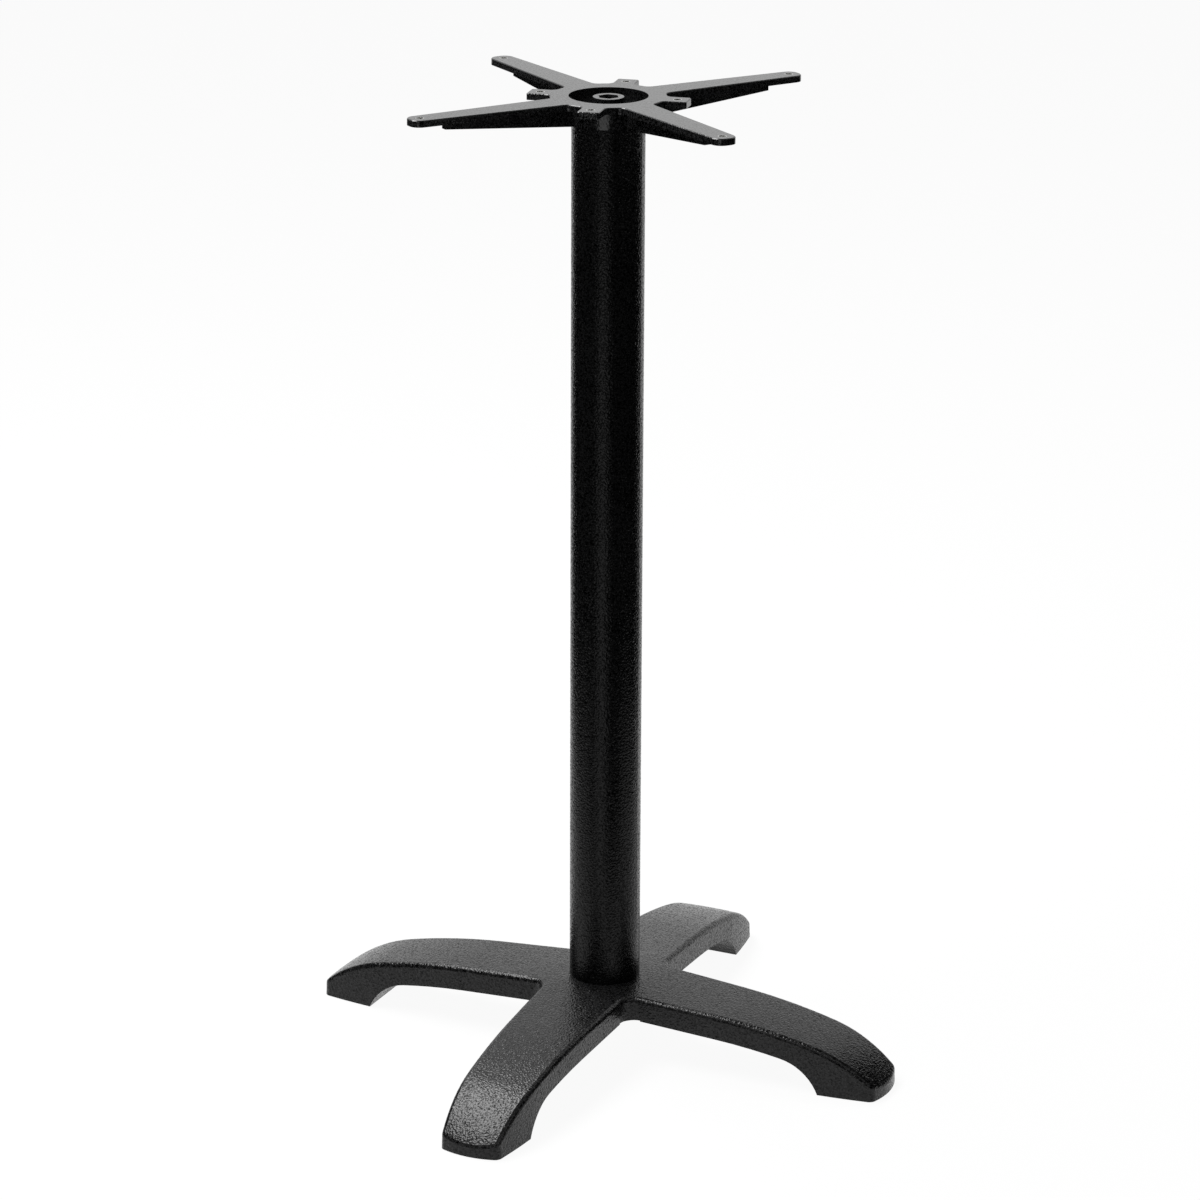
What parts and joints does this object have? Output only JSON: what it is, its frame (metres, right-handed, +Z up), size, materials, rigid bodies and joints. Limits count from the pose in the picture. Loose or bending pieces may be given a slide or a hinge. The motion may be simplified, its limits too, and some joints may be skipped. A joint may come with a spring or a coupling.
{
  "type": "bar table base",
  "caption": "Pedestal base for a bar table: cast cross foot with arched toes, tall round column and a ribbed spider that screws under the table top.",
  "frame": {"origin": "on the floor, on the column's axis", "axes": "+Z up along the column; the toes point along X and Y, and the spider's arms stand 55.6 degrees on from them"},
  "size_m": [0.668, 0.668, 1.045],
  "materials": {
    "casting_coat": "black powder coat with a fine grain on grey iron castings",
    "column_coat": "black powder coat with a fine grain on a steel tube",
    "zinc_steel": "dull zinc-plated steel",
    "glide_nylon": "black moulded nylon"
  },
  "bodies": {
    "base": {"foot_casting": "casting_coat", "column_tube": "column_coat", "top_spider": "casting_coat", "tie_rod": "zinc_steel", "top_nut": "zinc_steel", "foot_washer": "zinc_steel", "foot_lock_washer": "zinc_steel", "foot_nut": "zinc_steel"},
    "glide_1": {"glide_pad_1": "glide_nylon", "glide_stud_1": "zinc_steel"},
    "glide_2": {"glide_pad_2": "glide_nylon", "glide_stud_2": "zinc_steel"},
    "glide_3": {"glide_pad_3": "glide_nylon", "glide_stud_3": "zinc_steel"},
    "glide_4": {"glide_pad_4": "glide_nylon", "glide_stud_4": "zinc_steel"}
  },
  "joints": [
    {"name": "glide_1_travel", "type": "slide", "parent": "base", "child": "glide_1", "axis": [0, 0, -1], "range_m": [0, 0.01]},
    {"name": "glide_2_travel", "type": "slide", "parent": "base", "child": "glide_2", "axis": [0, 0, -1], "range_m": [0, 0.01]},
    {"name": "glide_3_travel", "type": "slide", "parent": "base", "child": "glide_3", "axis": [0, 0, -1], "range_m": [0, 0.01]},
    {"name": "glide_4_travel", "type": "slide", "parent": "base", "child": "glide_4", "axis": [0, 0, -1], "range_m": [0, 0.01]}
  ]
}
